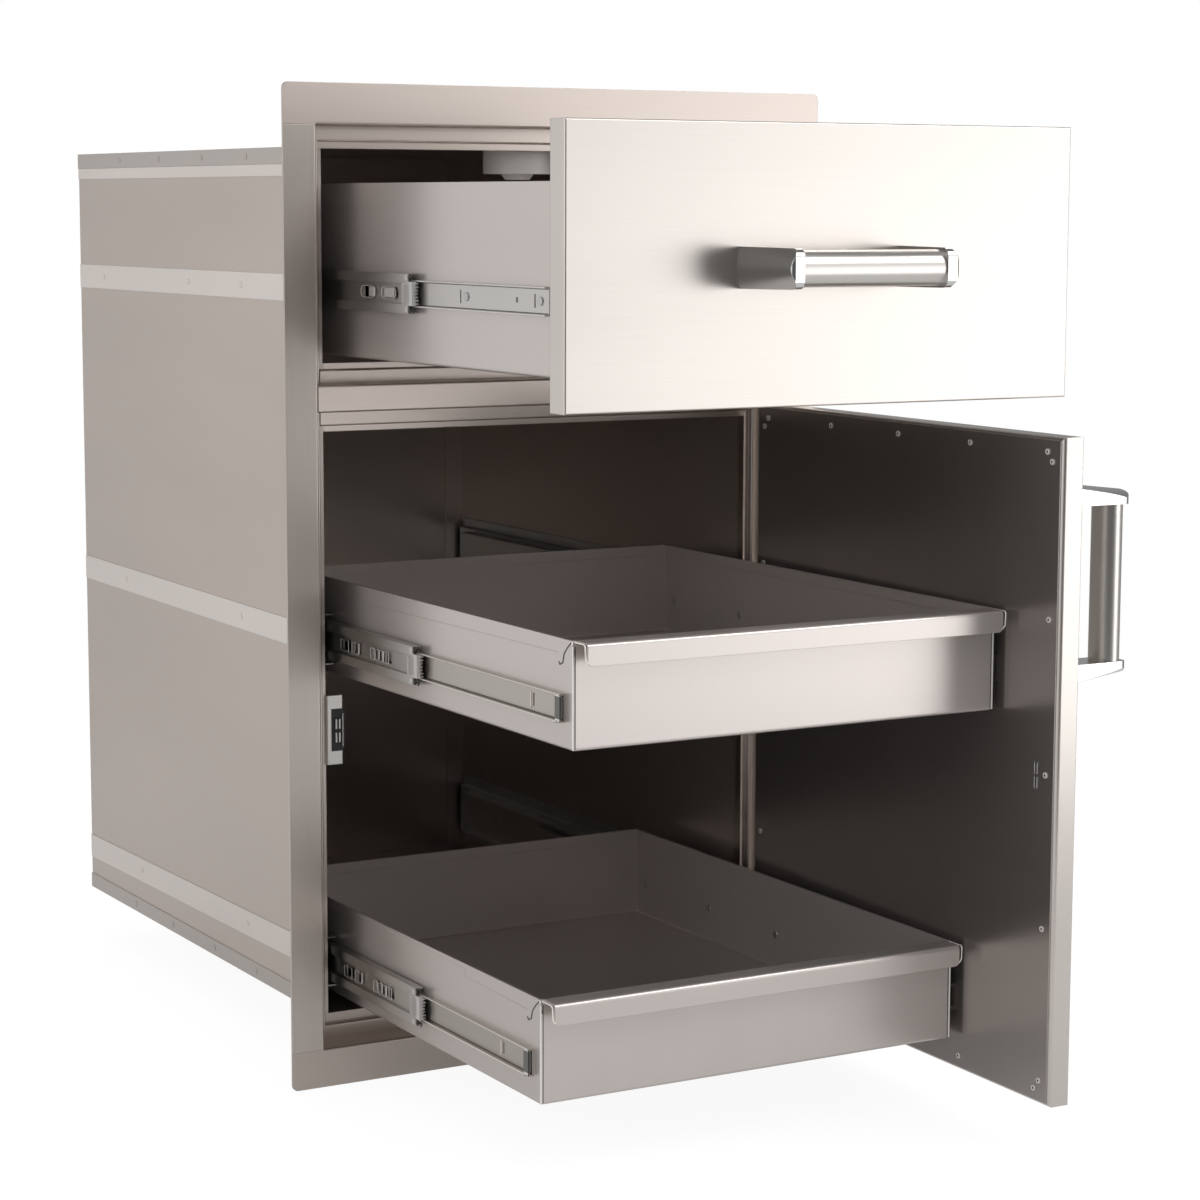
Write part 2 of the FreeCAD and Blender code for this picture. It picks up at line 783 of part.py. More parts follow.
def door_liner():
    """Inner sheet of the door, with the strike's slots near its free edge."""
    t = door_sheet
    back = front_y + door_thickness
    side = door_side - liner_inset
    liner = block(-side, side, back - t, back, door_bottom + liner_inset, door_top - liner_inset)
    liner = liner.cut(group(liner_rivet_shanks(0)))
    return liner.cut(group(four_blocks(strike_slot_width, strike_slot_height, back - 2 * t, back + past)))


def four_blocks(width, height, y0, y1):
    """Two by two upright blocks in the pattern that the catch and the strike share."""
    blocks = []
    for across in (-1, 1):
        for up in (-1, 1):
            x = catch_x + across * strike_slots_across / 2
            z = catch_z + up * strike_slots_up / 2
            blocks.append(block(x - width / 2, x + width / 2, y0, y1, z - height / 2, z + height / 2))
    return blocks


def strike_plate():
    """Steel plate behind the door's flange that the magnetic catch holds."""
    back = front_y + door_thickness - 2 * door_sheet
    half = strike_plate_width / 2
    return block(catch_x - half, catch_x + half, back - strike_plate_thickness, back,
                 catch_z - strike_plate_height / 2, catch_z + strike_plate_height / 2)


def liner_rivet_places():
    places = []
    side = door_side - row_rivet_from_side
    for n in range(row_rivets):
        x = -side + n * 2 * side / (row_rivets - 1)
        places += [(x, door_bottom + row_rivet_inset), (x, door_top - row_rivet_inset)]
    side = door_side - column_rivet_inset
    low = door_bottom + column_rivet_from_end
    high = door_top - column_rivet_from_end
    for n in range(column_rivets):
        z = low + n * (high - low) / (column_rivets - 1)
        places += [(-side, z), (side, z)]
    return places


def liner_rivet_shanks(extra):
    back = front_y + door_thickness
    deep = 2 * door_sheet + extra
    return [rod(liner_rivet_radius / 2, deep, x, back, z, vec(0, -1, 0)) for x, z in liner_rivet_places()]


def liner_rivets():
    back = front_y + door_thickness
    rivets = []
    for shank, place in zip(liner_rivet_shanks(door_sheet), liner_rivet_places()):
        x, z = place
        head = rod(liner_rivet_radius, liner_rivet_height, x, back, z, vec(0, 1, 0))
        deep = back + liner_rivet_height + past
        bore = rod(liner_rivet_bore, 2 * liner_rivet_height + past, x, deep, z, vec(0, -1, 0))
        rivets.append(joined([shank, head]).cut(bore))
    return group(rivets)


def hinge_pins():
    """Door pins, each with the block inside the pan that holds it."""
    t = door_sheet
    pins = []
    for edge, way, gap in ((door_top, 1, door_top_gap), (door_bottom, -1, door_bottom_gap)):
        inner = edge - way * t
        reach = gap + t + frame_sheet
        pin = rod(pin_radius, reach + pin_block_height, pin_x, pin_y, inner - way * pin_block_height,
                  vec(0, 0, way))
        z = sorted((inner, inner - way * pin_block_height))
        body = block(door_side - front_bend - pin_block, door_side - front_bend,
                     front_y + front_bend, front_y + front_bend + pin_block, z[0], z[1])
        pins.append(joined([pin, body]))
    return group(pins)


def post_outline():
    """Side outline of the post at a handle's right end: along the handle, and out from the face."""
    end = handle_length / 2
    inner = end - handle_post_width
    out = handle_post_out
    r = handle_post_front_round
    tip = end - handle_post_taper + handle_post_round_lead
    root = vec(end + past, 0, 0)
    shoulder = vec(tip, out - r, 0)
    turn = vec(tip - r + r * math.cos(math.pi / 4), out - r + r * math.sin(math.pi / 4), 0)
    crown = vec(tip - r, out, 0)
    edges = [
        Part.LineSegment(root, shoulder).toShape(),
        Part.Arc(shoulder, turn, crown).toShape(),
        Part.LineSegment(crown, vec(inner, out, 0)).toShape(),
        Part.LineSegment(vec(inner, out, 0), vec(inner, 0, 0)).toShape(),
        Part.LineSegment(vec(inner, 0, 0), root).toShape(),
    ]
    return Part.Face(Part.Wire(edges))


def handle_post():
    """Cast post at a handle's right end, lying along X with its foot on the plane Y = 0."""
    half = handle_post_height / 2
    post = post_outline().extrude(vec(0, 0, handle_post_height))
    post.translate(vec(0, 0, -half))
    mirror = post.mirror(vec(0, 0, 0), vec(0, 1, 0))
    post = domed_end(rounded_front(mirror))
    post = post.cut(oval_rod(0, handle_length / 2 - handle_post_width, handle_socket_depth))
    for hole in post_screws(handle_screw_radius, handle_screw_depth):
        post = post.cut(hole)
    return post


def oval_rod(inset, start, length):
    """Oval rod on a handle's axis, thinner than the tube by inset all round."""
    wide = handle_tube_half_height - inset
    deep = handle_tube_half_depth - inset
    axis = vec(start, -handle_axis_out, 0)
    oval = Part.Ellipse(axis + vec(0, 0, wide), axis + vec(0, -deep, 0), axis)
    return Part.Face(Part.Wire([oval.toShape()])).extrude(vec(length, 0, 0))


def domed_end(post):
    """Rounds the outer end of a post so that its middle stands out, most of all in front."""
    half = handle_post_height / 2
    end = handle_length / 2
    rings = []
    for out, crest, dome in ((0, end, handle_foot_dome),
                             (handle_post_out, end - handle_post_taper, handle_tip_dome)):
        radius = (half * half + dome * dome) / (2 * dome)
        rings.append(Part.Wire([Part.makeCircle(radius, vec(crest - radius, -out, 0), vec(0, -1, 0))]))
    return post.common(Part.makeLoft(rings, True, True))


def rounded_front(post):
    """Rounds the front of a post above and below so that it follows the tube."""
    out = handle_post_out
    tip = handle_post_tip_height / 2
    half = handle_post_height / 2
    r = handle_post_round
    wide = handle_length
    turn = r * math.cos(math.pi / 4)
    points = [
        vec(0, 0, half),
        vec(0, -out + r, tip),
        vec(0, -out + r - turn, tip - r + turn),
        vec(0, -out, tip - r),
    ]
    low = [vec(p.x, p.y, -p.z) for p in points]
    edges = [
        Part.LineSegment(points[0], points[1]).toShape(),
        Part.Arc(points[1], points[2], points[3]).toShape(),
        Part.LineSegment(points[3], low[3]).toShape(),
        Part.Arc(low[3], low[2], low[1]).toShape(),
        Part.LineSegment(low[1], low[0]).toShape(),
        Part.LineSegment(low[0], points[0]).toShape(),
    ]
    return post.common(Part.Face(Part.Wire(edges)).extrude(vec(wide, 0, 0)))


def post_screws(radius, depth):
    """Two screws up through the foot of the post at a handle's right end."""
    middle = handle_length / 2 - handle_post_width / 2
    screws = []
    for way in (-1, 1):
        screws.append(rod(radius, depth, middle, 0, way * handle_screw_pitch / 2, vec(0, -1, 0)))
    return screws


def handle_grip(which):
    """Depth that a handle's screws pass through behind the face."""
    return door_sheet if which == "door" else front_thickness + box_sheet


def handle_pieces(sheet):
    """Tube, posts and screws of a handle along X with its feet on the plane Y = 0."""
    inner = handle_length / 2 - handle_post_width
    reach = inner + handle_socket_depth
    tube = oval_rod(0, -reach, 2 * reach)
    tube = tube.cut(oval_rod(handle_tube_wall, -reach - past, 2 * (reach + past)))
    post = handle_post()
    screws = []
    middle = handle_length / 2 - handle_post_width / 2
    for way in (-1, 1):
        z = way * handle_screw_pitch / 2
        shank = rod(handle_screw_radius, handle_screw_depth + sheet, middle, sheet, z, vec(0, -1, 0))
        head = rod(handle_screw_head_radius, handle_screw_head_height, middle, sheet, z, vec(0, 1, 0))
        screw = joined([shank, head])
        screws += [screw, other_side(screw)]
    return tube, group([post, other_side(post)]), group(screws)


def placed_handle(shape, which):
    """Moves a handle from its own frame to the closed drawer front or door."""
    copy = shape.copy()
    if which == "door":
        copy.rotate(vec(0, 0, 0), vec(0, 1, 0), 90)
        copy.translate(vec(door_handle_x, front_y, door_handle_z))
    else:
        copy.translate(vec(0, front_y, drawer_handle_z))
    return copy


def handle_screw_holes(which):
    holes = []
    middle = handle_length / 2 - handle_post_width / 2
    for way in (-1, 1):
        for end in (-1, 1):
            hole = rod(handle_screw_radius, handle_grip(which) + 2 * past, end * middle, -past,
                       way * handle_screw_pitch / 2, vec(0, 1, 0))
            holes.append(placed_handle(hole, which))
    return holes


def catch_bracket():
    """Bracket hooked round the edge of the left stile's stop; its face carries the door catch."""
    x = -throat_side
    low = catch_z - bracket_height / 2
    high = catch_z + bracket_height / 2
    back = case_front_y + bracket_sheet
    face = block(x, x + bracket_reach, bracket_y, bracket_y + bracket_sheet, low, high)
    leg = block(x, x + bracket_sheet, bracket_y, back, low, high)
    foot = block(-case_inner_side + stop_sheet, x + bracket_sheet, case_front_y, back, low, high)
    return joined([face, leg, foot]).cut(catch_body())


def catch_body():
    half = catch_width / 2
    low = catch_z - catch_height / 2
    front = bracket_y - catch_proud
    return block(catch_x - half, catch_x + half, front, front + catch_depth, low, low + catch_height)


def door_catch():
    """Magnetic catch: its body fills the bracket's notch, with four poles and a steel side plate."""
    width = strike_slot_width - 2 * catch_pole_clearance
    height = strike_slot_height - 2 * catch_pole_clearance
    front = bracket_y - catch_proud
    side = catch_x + catch_width / 2
    half = catch_yoke_height / 2
    plate = block(side, side + bracket_sheet, front, front + catch_depth, catch_z - half, catch_z + half)
    poles = four_blocks(width, height, front - catch_pole_proud, front + past)
    return joined([catch_body(), plate] + poles)


def top_buffer():
    """Round plastic buffer with a tapered nub, under the top cover."""
    y = front_y + buffer_from_front
    top = case_inner_top
    body = rod(buffer_radius, buffer_height, 0, y, top, vec(0, 0, -1))
    nub = Part.makeCone(buffer_nub_radius, buffer_nub_tip, buffer_nub_height, vec(0, y, top - buffer_height),
                        vec(0, 0, -1))
    return joined([body, nub])


def opened_door(shape):
    copy = shape.copy()
    copy.rotate(vec(pin_x, pin_y, 0), vec(0, 0, 1), door_open_angle)
    return copy


def save_frame_and_case():
    save("frame_top_rail", frame_rail(drawer_opening_top, 1, frame_top, step_top, throat_top))
    bottom = frame_rail(door_opening_bottom, -1, frame_bottom, step_bottom, throat_bottom)
    save("frame_bottom_rail", bottom.cut(bush_hole(door_opening_bottom - frame_sheet)))
    stile = frame_stile()
    save("frame_left_stile", stile)
    save("frame_right_stile", other_side(stile))
    save("frame_mid_rail", frame_mid_rail())
    side = case_side()
    save("case_left_panel", side)
    save("case_right_panel", other_side(side))
    save("case_back_panel", case_back())
    cover_top = case_inner_top + case_sheet
    save("case_top_cover", case_cover(case_inner_top, cover_top, cover_top - lap_height, cover_top,
                                      top_lap_welds))
    pan_bottom = case_inner_bottom - case_sheet
    save("case_bottom_pan", case_cover(pan_bottom, case_inner_bottom, pan_bottom, pan_bottom + lap_height,
                                       bottom_lap_welds))
    save("outer_straps", outer_straps())
    save("slide_mounting_rails", with_screw_holes(slide_hats()))
    save("cabinet_slide_screws", cabinet_screws())
    save("hinge_bushes", hinge_bushes())
    save("door_catch_bracket", catch_bracket())
    save("door_catch", door_catch())
    save("top_buffer", top_buffer())


def save_slides():
    for name, y, z, drawn, member in slides:
        cabinet = with_screw_holes(cabinet_member(y, z))
        save(name + "_left_cabinet_member", cabinet)
        save(name + "_right_cabinet_member", other_side(cabinet))
        middle = moved(intermediate_member(name, y, z), 0, -member, 0)
        save(name + "_left_intermediate", middle)
        save(name + "_right_intermediate", other_side(middle))
        inner = moved(drawer_member(name, y, z), 0, -drawn, 0)
        save(name + "_left_drawer_member", inner)
        save(name + "_right_drawer_member", other_side(inner))
        balls = [moved(b, 0, -member, 0) for b in slide_balls(y, z)]
        save(name + "_slide_balls", group(balls + [other_side(b) for b in balls]))
        cages = [moved(c, 0, -member, 0) for c in ball_cages(y, z)]
        save(name + "_ball_cages", group(cages + [other_side(c) for c in cages]))
        rivets = [moved(r, 0, -drawn, 0) for r in box_rivets(name, y, z)]
        save(name + "_slide_rivets", group(rivets + [other_side(r) for r in rivets]))


def save_drawer():
    tube, posts, screws = handle_pieces(handle_grip("drawer"))
    holes = group(handle_screw_holes("drawer"))
    box = open_box(top_box_front_y, top_box_bottom, top_box_height, top_slide_y, top_slide_z, top_rivets)
    pieces = {
        "drawer_front_skin": drawer_front_skin().cut(holes),
        "drawer_front_backing": drawer_front_backing().cut(holes),
        "top_drawer_box": box.cut(holes),
        "drawer_handle_tube": placed_handle(tube, "drawer"),
        "drawer_handle_posts": placed_handle(posts, "drawer"),
        "drawer_handle_screws": placed_handle(screws, "drawer"),
    }
    for name, shape in pieces.items():
        save(name, moved(shape, 0, -top_drawer_drawn, 0))
    save("middle_tray", moved(tray(middle_tray_bottom, middle_slide_z), 0, -middle_tray_drawn, 0))
    save("lower_tray", moved(tray(lower_tray_bottom, lower_slide_z), 0, -lower_tray_drawn, 0))


def save_door():
    tube, posts, screws = handle_pieces(handle_grip("door"))
    pieces = {
        "door_skin": door_skin(),
        "door_liner": door_liner(),
        "door_strike_plate": strike_plate(),
        "door_liner_rivets": liner_rivets(),
        "door_hinge_pins": hinge_pins(),
        "door_handle_tube": placed_handle(tube, "door"),
        "door_handle_posts": placed_handle(posts, "door"),
        "door_handle_screws": placed_handle(screws, "door"),
    }
    for name, shape in pieces.items():
        save(name, opened_door(shape))


save_frame_and_case()
save_slides()
save_drawer()
save_door()
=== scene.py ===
import math

import bmesh
import bpy
from mathutils import Matrix, Vector


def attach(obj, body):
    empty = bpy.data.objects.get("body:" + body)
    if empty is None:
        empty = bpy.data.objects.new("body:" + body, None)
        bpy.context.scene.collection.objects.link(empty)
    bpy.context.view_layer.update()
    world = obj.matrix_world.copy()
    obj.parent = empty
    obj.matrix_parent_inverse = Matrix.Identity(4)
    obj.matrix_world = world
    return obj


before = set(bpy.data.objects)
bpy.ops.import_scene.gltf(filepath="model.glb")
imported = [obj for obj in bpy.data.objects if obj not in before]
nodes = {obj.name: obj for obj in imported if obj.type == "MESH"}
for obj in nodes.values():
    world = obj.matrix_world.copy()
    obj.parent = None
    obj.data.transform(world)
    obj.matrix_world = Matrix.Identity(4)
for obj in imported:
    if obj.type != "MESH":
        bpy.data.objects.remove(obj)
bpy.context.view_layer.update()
print("frame loaded,", len(nodes), "nodes")

# steel finishes: colour, roughness, the way the brushing runs (0 = X, 1 = Y, 2 = Z) and its depth,
# how far the gloss is drawn out, and how metallic the steel reads where that is less than fully
steelFinishes = {
    "brushedFront": {"colour": (0.66, 0.615, 0.58), "rough": 0.30, "grain": 0, "depth": 0.10, "stretch": 0.6},
    "brushedAcross": {"colour": (0.62, 0.545, 0.50), "rough": 0.30, "grain": 0, "depth": 0.12, "stretch": 0.6},
    "brushedUpright": {"colour": (0.64, 0.58, 0.54), "rough": 0.30, "grain": 2, "depth": 0.12, "stretch": 0.6},
    "caseSheet": {"colour": (0.59, 0.52, 0.475), "rough": 0.33, "grain": 1, "depth": 0.04, "stretch": 0.2,
                  "metal": 0.9},
    "caseCover": {"colour": (0.56, 0.515, 0.485), "rough": 0.36, "grain": 1, "depth": 0.04, "stretch": 0.2},
    "caseStrap": {"colour": (0.78, 0.725, 0.69), "rough": 0.40, "grain": 1, "depth": 0.04, "stretch": 0.2},
    "boxSheet": {"colour": (0.61, 0.56, 0.535), "rough": 0.30, "grain": 1, "depth": 0.05, "stretch": 0.3,
                 "metal": 0.72},
    "doorLiner": {"colour": (0.46, 0.425, 0.405), "rough": 0.245, "grain": 2, "depth": 0.04, "stretch": 0.3,
                  "metal": 0.92},
    "innerSheet": {"colour": (0.56, 0.53, 0.505), "rough": 0.36, "grain": 0, "depth": 0.04, "stretch": 0.3,
                   "metal": 0.8},
    "slideSteel": {"colour": (0.60, 0.58, 0.555), "rough": 0.30, "grain": 1, "depth": 0.10, "stretch": 0.2},
    "traySlideSteel": {"colour": (0.53, 0.49, 0.45), "rough": 0.31, "grain": 1, "depth": 0.10, "stretch": 0.2},
    "zincPlate": {"colour": (0.62, 0.64, 0.66), "rough": 0.36, "grain": 1, "depth": 0.08, "stretch": 0.2},
    "rivetSteel": {"colour": (0.72, 0.69, 0.66), "rough": 0.35, "grain": 2, "depth": 0.02, "stretch": 0.0,
                   "metal": 0.5},
    # edgeSteel: a lighter copy of the steel, giving painted highlights on the thin lines along rounded edges,
    # folds and rims
    "edgeSteel": {"colour": (0.92, 0.88, 0.84), "rough": 0.31, "grain": 1, "depth": 0.02, "stretch": 0.0,
                  "metal": 0.6},
    "clipSteel": {"colour": (0.66, 0.62, 0.60), "rough": 0.34, "grain": 2, "depth": 0.06, "stretch": 0.0,
                  "metal": 0.7},
    "screwSteel": {"colour": (0.55, 0.55, 0.55), "rough": 0.32, "grain": 2, "depth": 0.04, "stretch": 0.0},
    "tubeSatin": {"colour": (0.64, 0.61, 0.58), "rough": 0.30, "grain": 0, "depth": 0.10, "stretch": 0.5},
    "postChrome": {"colour": (0.66, 0.655, 0.65), "rough": 0.07, "grain": 2, "depth": 0.0, "stretch": 0.0},
    "ballSteel": {"colour": (0.75, 0.75, 0.76), "rough": 0.08, "grain": 2, "depth": 0.0, "stretch": 0.0},
    "bushBrass": {"colour": (0.62, 0.46, 0.22), "rough": 0.30, "grain": 2, "depth": 0.03, "stretch": 0.0},
}
# what all the steels share; pairs are the lowest and highest share of the finish's own value
brushing = {
    "lines": {"across": 2200.0, "along": 16.0, "detail": 3.0},
    "clouds": {"across": 14.0, "along": 3.0, "detail": 4.0},
    "tint": (0.95, 1.05),
    "shade": (0.82, 1.15),
    "shadeMix": 0.42,
    "mixPerDepth": 8,
    "rough": (0.93, 1.10),
    "deep": 0.05,  # deeper brushing than this also changes the roughness
    "uprightTurn": 0.25,
    "edgeRadius": 0.0007,
    "edgeSamples": 4,
    "bumpPerDepth": 0.6,
    "bumpHeight": 0.00004,
}
# moulded plastics: colour, roughness, size of the grain in the surface
plasticFinishes = {
    "catchPlastic": {"colour": (0.018, 0.018, 0.020), "rough": 0.45, "grain": 1500.0},
    # darkPlastic: not a plastic part but a near-black finish, painted shade in folds, slits, hollows and under
    # overhangs
    "darkPlastic": {"colour": (0.020, 0.020, 0.019), "rough": 0.50, "grain": 1800.0},
    # endRubber: no rubber, a dark block of painted shade where the members' webs are set back at their front
    # ends
    "endRubber": {"colour": (0.13, 0.13, 0.12), "rough": 0.60, "grain": 900.0},
    "bufferPlastic": {"colour": (0.80, 0.79, 0.77), "rough": 0.38, "grain": 900.0},
    "cagePlastic": {"colour": (0.47, 0.455, 0.445), "rough": 0.42, "grain": 1200.0},
}
moulding = {"detail": 2.0, "tint": (0.9, 1.1), "rough": (0.85, 1.15), "bump": 0.08, "bumpHeight": 0.0002}


def link(tree, a, outName, b, inName):
    tree.links.new(a.outputs[outName], b.inputs[inName])


def newMaterial(name):
    mat = bpy.data.materials.new(name)
    mat.use_nodes = True
    return mat, mat.node_tree, mat.node_tree.nodes["Principled BSDF"]


def addNoise(tree, source, outName, scale, detail):
    noise = tree.nodes.new("ShaderNodeTexNoise")
    noise.inputs["Scale"].default_value = scale
    noise.inputs["Detail"].default_value = detail
    link(tree, source, outName, noise, "Vector")
    return noise


def addDrawnNoise(tree, coord, grain, size):  # noise drawn out along the grain
    scale = [size["across"]] * 3
    scale[grain] = size["along"]
    drawn = tree.nodes.new("ShaderNodeMapping")
    drawn.inputs["Scale"].default_value = scale
    link(tree, coord, "Object", drawn, "Vector")
    return addNoise(tree, drawn, "Vector", 1.0, size["detail"])


def addTint(tree, noise, colour, shares):
    tint = tree.nodes.new("ShaderNodeMixRGB")
    for socket, share in zip(("Color1", "Color2"), shares):
        tint.inputs[socket].default_value = [part * share for part in colour] + [1]
    link(tree, noise, "Fac", tint, "Fac")
    return tint


def addSpread(tree, noise, shares, middle=1.0):
    spread = tree.nodes.new("ShaderNodeMapRange")
    for socket, share in zip(("To Min", "To Max"), shares):
        spread.inputs[socket].default_value = middle * share
    link(tree, noise, "Fac", spread, "Value")
    return spread


def addBump(tree, noise, bsdf, strength, height):
    bump = tree.nodes.new("ShaderNodeBump")
    bump.inputs["Strength"].default_value = strength
    bump.inputs["Distance"].default_value = height
    link(tree, noise, "Fac", bump, "Height")
    link(tree, bump, "Normal", bsdf, "Normal")
    return bump


def makeSteel(name):
    look = steelFinishes[name]
    mat, tree, bsdf = newMaterial(name)
    bsdf.inputs["Metallic"].default_value = look.get("metal", 1.0)
    bsdf.inputs["Anisotropic"].default_value = look["stretch"]
    bsdf.inputs["Anisotropic Rotation"].default_value = brushing["uprightTurn"] if look["grain"] == 2 else 0.0
    if look["stretch"] > 0:
        tangent = tree.nodes.new("ShaderNodeTangent")
        tangent.direction_type = "RADIAL"
        tangent.axis = "Z"
        link(tree, tangent, "Tangent", bsdf, "Tangent")
    coord = tree.nodes.new("ShaderNodeTexCoord")
    lines = addDrawnNoise(tree, coord, look["grain"], brushing["lines"])
    clouds = addDrawnNoise(tree, coord, look["grain"], brushing["clouds"])
    tint = addTint(tree, clouds, look["colour"], brushing["tint"])  # slow change of tone over the sheet
    brushed = tree.nodes.new("ShaderNodeMixRGB")  # the brushing itself
    brushed.blend_type = "MULTIPLY"
    fullness = min(1.0, look["depth"] * brushing["mixPerDepth"])
    brushed.inputs["Fac"].default_value = brushing["shadeMix"] * fullness
    link(tree, tint, "Color", brushed, "Color1")
    link(tree, addSpread(tree, lines, brushing["shade"]), "Result", brushed, "Color2")
    link(tree, brushed, "Color", bsdf, "Base Color")
    uneven = lines if look["depth"] > brushing["deep"] else clouds
    link(tree, addSpread(tree, uneven, brushing["rough"], look["rough"]), "Result", bsdf, "Roughness")
    edge = tree.nodes.new("ShaderNodeBevel")  # folded sheet has small round edges that catch the light
    edge.samples = brushing["edgeSamples"]
    edge.inputs["Radius"].default_value = brushing["edgeRadius"]
    bump = addBump(tree, lines, bsdf, look["depth"] * brushing["bumpPerDepth"], brushing["bumpHeight"])
    link(tree, edge, "Normal", bump, "Normal")
    return mat


def makePlastic(name):
    look = plasticFinishes[name]
    mat, tree, bsdf = newMaterial(name)
    coord = tree.nodes.new("ShaderNodeTexCoord")
    grain = addNoise(tree, coord, "Object", look["grain"], moulding["detail"])
    link(tree, addTint(tree, grain, look["colour"], moulding["tint"]), "Color", bsdf, "Base Color")
    link(tree, addSpread(tree, grain, moulding["rough"], look["rough"]), "Result", bsdf, "Roughness")
    addBump(tree, grain, bsdf, moulding["bump"], moulding["bumpHeight"])
    return mat


finish = {name: makeSteel(name) for name in steelFinishes}
finish.update({name: makePlastic(name) for name in plasticFinishes})
print("materials made,", len(finish))

nodeFinish = {
    "frame_top_rail": "brushedAcross",
    "frame_bottom_rail": "brushedAcross",
    "frame_mid_rail": "brushedAcross",
    "frame_left_stile": "brushedUpright",
    "frame_right_stile": "brushedUpright",
    "case_left_panel": "caseSheet",
    "case_right_panel": "caseSheet",
    "case_back_panel": "caseSheet",
    "case_top_cover": "caseCover",
    "case_bottom_pan": "caseCover",
    "outer_straps": "caseStrap",
    "slide_mounting_rails": "zincPlate",
    "hinge_bushes": "bushBrass",
    "door_catch_bracket": "slideSteel",
    "door_catch": "catchPlastic",
    "top_buffer": "bufferPlastic",
    "drawer_front_skin": "brushedFront",
    "drawer_front_backing": "innerSheet",
    "top_drawer_box": "boxSheet",
    "middle_tray": "boxSheet",
    "lower_tray": "boxSheet",
    "drawer_handle_tube": "tubeSatin",
    "door_handle_tube": "tubeSatin",
    "drawer_handle_posts": "postChrome",
    "door_handle_posts": "postChrome",
    "middle_left_drawer_member": "traySlideSteel",
    "middle_right_drawer_member": "traySlideSteel",
    "lower_left_drawer_member": "traySlideSteel",
    "lower_right_drawer_member": "traySlideSteel",
    "door_skin": "brushedFront",
    "door_liner": "doorLiner",
    "door_strike_plate": "zincPlate",
    "door_liner_rivets": "rivetSteel",
    "door_hinge_pins": "screwSteel",
}
# finishes of the nodes that aren't named above, by the end of the name
endings = {
    "cabinet_member": "slideSteel",
    "intermediate": "slideSteel",
    "drawer_member": "slideSteel",
    "slide_balls": "ballSteel",
    "ball_cages": "cagePlastic",
    "rivets": "screwSteel",
    "screws": "screwSteel",
}


def finishOf(name):
    if name in nodeFinish:
        return nodeFinish[name]
    for ending, choice in endings.items():
        if name.endswith(ending):
            return choice
    raise ValueError("no finish for " + name)


for name, obj in nodes.items():
    obj.data.materials.clear()
    obj.data.materials.append(finish[finishOf(name)])
print("finishes set on the frame")

# camera: place and direction fitted to the photograph, in metres; the roll in degrees
cameraFit = {
    "place": (-1.20369, -2.17159, 0.70093),
    "forward": (0.4908, 0.8612, -0.1316),
    "lens": 89.73,
    "sensor": 36.0,
    "roll": 0.171,
    "shift": (0.0028, 0.0014),
    "clip": (0.1, 60.0),
}


def makeCamera():
    data = bpy.data.cameras.new("camera")
    data.lens = cameraFit["lens"]
    data.sensor_width = cameraFit["sensor"]
    data.shift_x, data.shift_y = cameraFit["shift"]
    data.clip_start, data.clip_end = cameraFit["clip"]
    cam = bpy.data.objects.new("camera", data)
    ahead = Vector(cameraFit["forward"]).normalized()
    right = ahead.cross(Vector((0, 0, 1))).normalized()
    up = right.cross(ahead)
    turn = math.radians(cameraFit["roll"])
    rolled = right * math.cos(turn) + up * math.sin(turn)
    upright = up * math.cos(turn) - right * math.sin(turn)
    axes = Matrix((rolled, upright, -ahead)).transposed()
    cam.matrix_world = Matrix.Translation(cameraFit["place"]) @ axes.to_4x4()
    bpy.context.scene.collection.objects.link(cam)
    bpy.context.scene.camera = cam


makeCamera()
print("camera placed")

perMetre = 1000  # the trim below is measured in millimetres


def keepPiece(name, bm, look, rides):
    bmesh.ops.recalc_face_normals(bm, faces=bm.faces)
    mesh = bpy.data.meshes.new(name)
    bm.to_mesh(mesh)
    bm.free()
    mesh.materials.append(finish[look])
    piece = bpy.data.objects.new(name, mesh)
    bpy.context.scene.collection.objects.link(piece)
    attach(piece, rides)


def addBlock(bm, spot, size, rounding):
    made = bmesh.ops.create_cube(bm, size=1 / perMetre)
    bmesh.ops.scale(bm, verts=made["verts"], vec=size)
    bmesh.ops.translate(bm, verts=made["verts"], vec=Vector(spot) / perMetre)
    edges = list({edge for vert in made["verts"] for edge in vert.link_edges})
    bmesh.ops.bevel(bm, geom=edges, offset=rounding / perMetre, segments=2, profile=0.5, affect="EDGES",
                    material=-1)


# thin round lines: folded edges, slits and rims, as curves with a round section of that radius
def addLines(name, paths, radius, look, rides, closed=False):
    curve = bpy.data.curves.new(name, "CURVE")
    curve.dimensions = "3D"
    curve.bevel_depth = radius / perMetre
    curve.bevel_resolution = 1
    curve.use_fill_caps = not closed
    for path in paths:
        line = curve.splines.new("POLY")
        line.points.add(len(path) - 1)
        line.use_cyclic_u = closed
        for point, place in zip(line.points, path):
            point.co = [along / perMetre for along in place] + [1]
    curve.materials.append(finish[look])
    piece = bpy.data.objects.new(name, curve)
    bpy.context.scene.collection.objects.link(piece)
    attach(piece, rides)


def placed(path, y, z, way=1):  # a path drawn around Y and Z, upside down where way is -1
    return [(x, y + along, z + way * up) for x, along, up in path]


def mirrored(paths):
    return paths + [[(-x, y, z) for x, y, z in path] for path in paths]


# slides: front end of each middle member, of its drawer member, and the height of its centre; on the trays
# also where the painted shadow of the lip stands before the middle member's end
slides = {
    "top": {"front": -106.3, "member": -316.8, "z": 633.0, "inner": "top_drawer",
            "middles": "top_slide_middles"},
    "middle": {"front": -111.4, "member": -339.0, "z": 346.2, "inner": "middle_tray",
               "middles": "middle_slide_middles", "lever": -8.0},
    "lower": {"front": -113.0, "member": -292.0, "z": 75.0, "inner": "lower_tray",
              "middles": "lower_slide_middles", "lever": -6.5},
}
